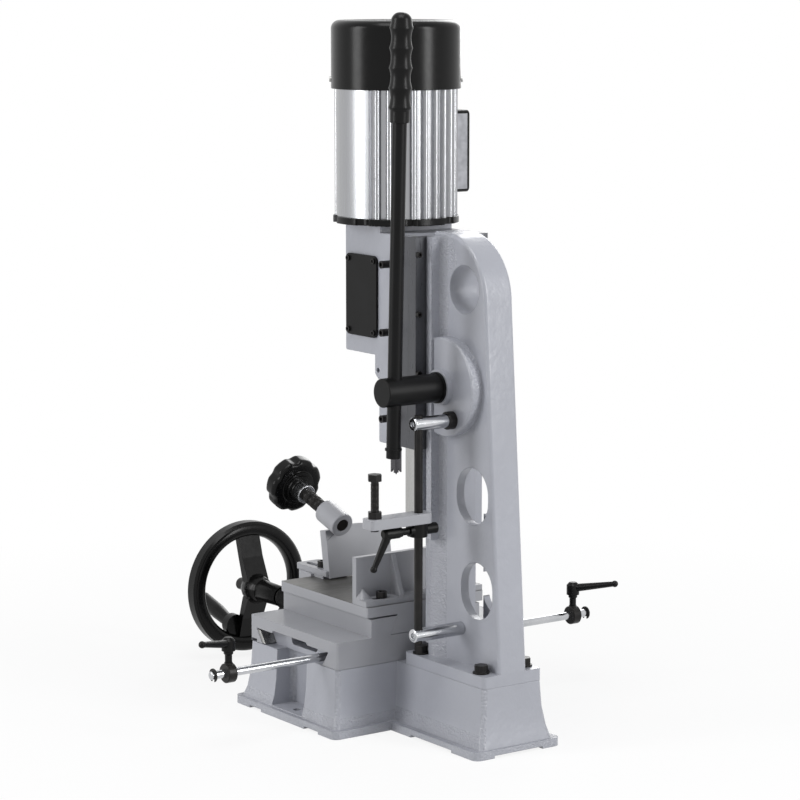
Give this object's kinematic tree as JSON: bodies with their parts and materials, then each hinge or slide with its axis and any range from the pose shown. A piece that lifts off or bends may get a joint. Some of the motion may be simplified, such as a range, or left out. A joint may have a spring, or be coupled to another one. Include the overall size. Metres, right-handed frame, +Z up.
{
  "type": "benchtop mortiser",
  "caption": "Hollow-chisel mortiser: ribbed motor over a sliding head on a cast column, long feed lever, and a table fed across by a handwheel, with fence, clamp and stops",
  "frame": {"origin": "midway between the two bench bolt holes, on the plane the base stands on", "axes": "+X to the right of the person who stands at the handwheel and works the machine, +Y to the rear, towards the column, +Z up"},
  "size_m": [0.5979, 0.6695, 0.8479],
  "materials": {
    "grey_casting": "painted silver grey casting",
    "machined_steel": "machined",
    "tool_steel": "ground",
    "motor_aluminium": "extruded",
    "bronze": "turned",
    "chrome_steel": "polished",
    "black_steel": "blackened",
    "black_paint": "gloss black",
    "black_plastic": "satin",
    "black_lever": "satin black"
  },
  "bodies": {
    "base": {"base_casting": "grey_casting", "feed_rack": "machined_steel", "column_casting": "grey_casting", "column_bolts": "black_steel", "gear_cover": "grey_casting", "drive_bushes": "bronze", "upper_stud": "chrome_steel", "lower_stud": "chrome_steel", "stud_nut": "black_steel", "guide_rod": "black_steel", "stop_rods": "chrome_steel", "rod_rings": "black_steel"},
    "head": {"head_casting": "grey_casting", "keeper_strips": "machined_steel", "head_screws": "black_steel", "head_gib": "machined_steel", "head_set_screws": "black_steel", "chuck_cover": "black_paint", "head_rack": "machined_steel", "chisel_holder": "black_steel", "mortise_chisel": "tool_steel", "motor_flange": "black_paint", "motor_body": "motor_aluminium", "fan_cover": "black_paint", "stator": "machined_steel", "motor_bearings": "tool_steel", "switch_box": "black_plastic"},
    "spindle": {"motor_rotor": "machined_steel", "cooling_fan": "black_plastic", "drill_chuck": "tool_steel", "auger_bit": "tool_steel"},
    "rocker": {"switch_rocker": "black_plastic"},
    "lever": {"drive_shaft": "machined_steel", "drive_gear": "machined_steel", "lever_hub": "black_paint", "lever_bar": "black_paint", "lever_grip": "black_plastic"},
    "saddle": {"saddle_casting": "grey_casting", "cross_gib": "machined_steel", "cross_gib_screws": "bronze", "feed_bracket": "black_paint"},
    "wheel": {"handwheel": "black_paint", "feed_shaft": "machined_steel"},
    "grip": {"wheel_grip": "black_plastic"},
    "table": {"table_plate": "grey_casting", "rear_fence": "grey_casting", "table_screws": "black_steel", "clamp_bracket": "grey_casting"},
    "pad": {"pressure_pad": "black_steel"},
    "screw": {"clamp_screw": "black_steel", "star_knob": "black_plastic"},
    "collar_right": {"stop_collar_right": "black_steel"},
    "collar_left": {"stop_collar_left": "black_steel"},
    "stop_lever_r": {"stop_lever_right": "black_lever"},
    "stop_lever_l": {"stop_lever_left": "black_lever"},
    "depth_carrier": {"depth_collar": "black_steel"},
    "depth_handle": {"depth_lever": "black_lever"},
    "depth_swing": {"depth_arm": "grey_casting", "depth_bolt": "black_steel", "depth_nut": "black_steel"}
  },
  "joints": [
    {"name": "head_slide", "type": "slide", "parent": "base", "child": "head", "axis": [0, 0, -1], "range_m": [0, 0.08]},
    {"name": "spindle_spin", "type": "hinge", "parent": "head", "child": "spindle", "pos_m": [0, 0.033, 0.68], "axis": [0, 0, 1], "continuous": true},
    {"name": "switch_tilt", "type": "hinge", "parent": "head", "child": "rocker", "pos_m": [-0.083, 0.033, 0.68], "axis": [0, 1, 0], "range_deg": [0, 12]},
    {"name": "feed_lever", "type": "hinge", "parent": "base", "child": "lever", "pos_m": [0.1, 0.173, 0.418], "axis": [1, 0, 0], "range_deg": [0, 107]},
    {"name": "saddle_slide", "type": "slide", "parent": "base", "child": "saddle", "axis": [1, 0, 0], "range_m": [-0.1, 0.1]},
    {"name": "wheel_turn", "type": "hinge", "parent": "saddle", "child": "wheel", "pos_m": [0, -0.308, 0.093], "axis": [0, 1, 0], "range_deg": [-480, 480]},
    {"name": "grip_spin", "type": "hinge", "parent": "wheel", "child": "grip", "pos_m": [0.01847, -0.318, 0.04226], "axis": [0, -0.9563, 0.2924], "continuous": true},
    {"name": "table_slide", "type": "slide", "parent": "saddle", "child": "table", "axis": [0, 1, 0], "range_m": [-0.05, 0.03]},
    {"name": "clamp_push", "type": "slide", "parent": "table", "child": "pad", "axis": [0, 0.9494, -0.314], "range_m": [0, 0.035]},
    {"name": "clamp_turn", "type": "hinge", "parent": "pad", "child": "screw", "pos_m": [0.022, -0.05, 0.2175], "axis": [0, 0.9494, -0.314], "range_deg": [0, 3155]},
    {"name": "stop_right_slide", "type": "slide", "parent": "base", "child": "collar_right", "axis": [1, 0, 0], "range_m": [-0.08, 0.012]},
    {"name": "stop_left_slide", "type": "slide", "parent": "base", "child": "collar_left", "axis": [1, 0, 0], "range_m": [-0.012, 0.08]},
    {"name": "stop_right_lock", "type": "hinge", "parent": "collar_right", "child": "stop_lever_r", "pos_m": [0.256, 0.058, 0.11], "axis": [0, 0, 1], "range_deg": [-60, 60]},
    {"name": "stop_left_lock", "type": "hinge", "parent": "collar_left", "child": "stop_lever_l", "pos_m": [-0.256, 0.058, 0.11], "axis": [0, 0, 1], "range_deg": [-60, 60]},
    {"name": "depth_slide", "type": "slide", "parent": "base", "child": "depth_carrier", "axis": [0, 0, 1], "range_m": [-0.09, 0.03]},
    {"name": "depth_lock", "type": "hinge", "parent": "depth_carrier", "child": "depth_handle", "pos_m": [0.1, 0.193, 0.25895], "axis": [1, 0, 0], "range_deg": [-60, 60]},
    {"name": "depth_swivel", "type": "hinge", "parent": "depth_carrier", "child": "depth_swing", "pos_m": [0.082, 0.193, 0.273], "axis": [0, 0, 1], "range_deg": [-105, 60]}
  ],
  "couplings": [
    {"joint": "feed_lever", "follows": "head_slide", "rad_per_m": 23.256},
    {"joint": "wheel_turn", "follows": "saddle_slide", "rad_per_m": 83.333},
    {"joint": "clamp_turn", "follows": "clamp_push", "rad_per_m": 1570.8}
  ]
}
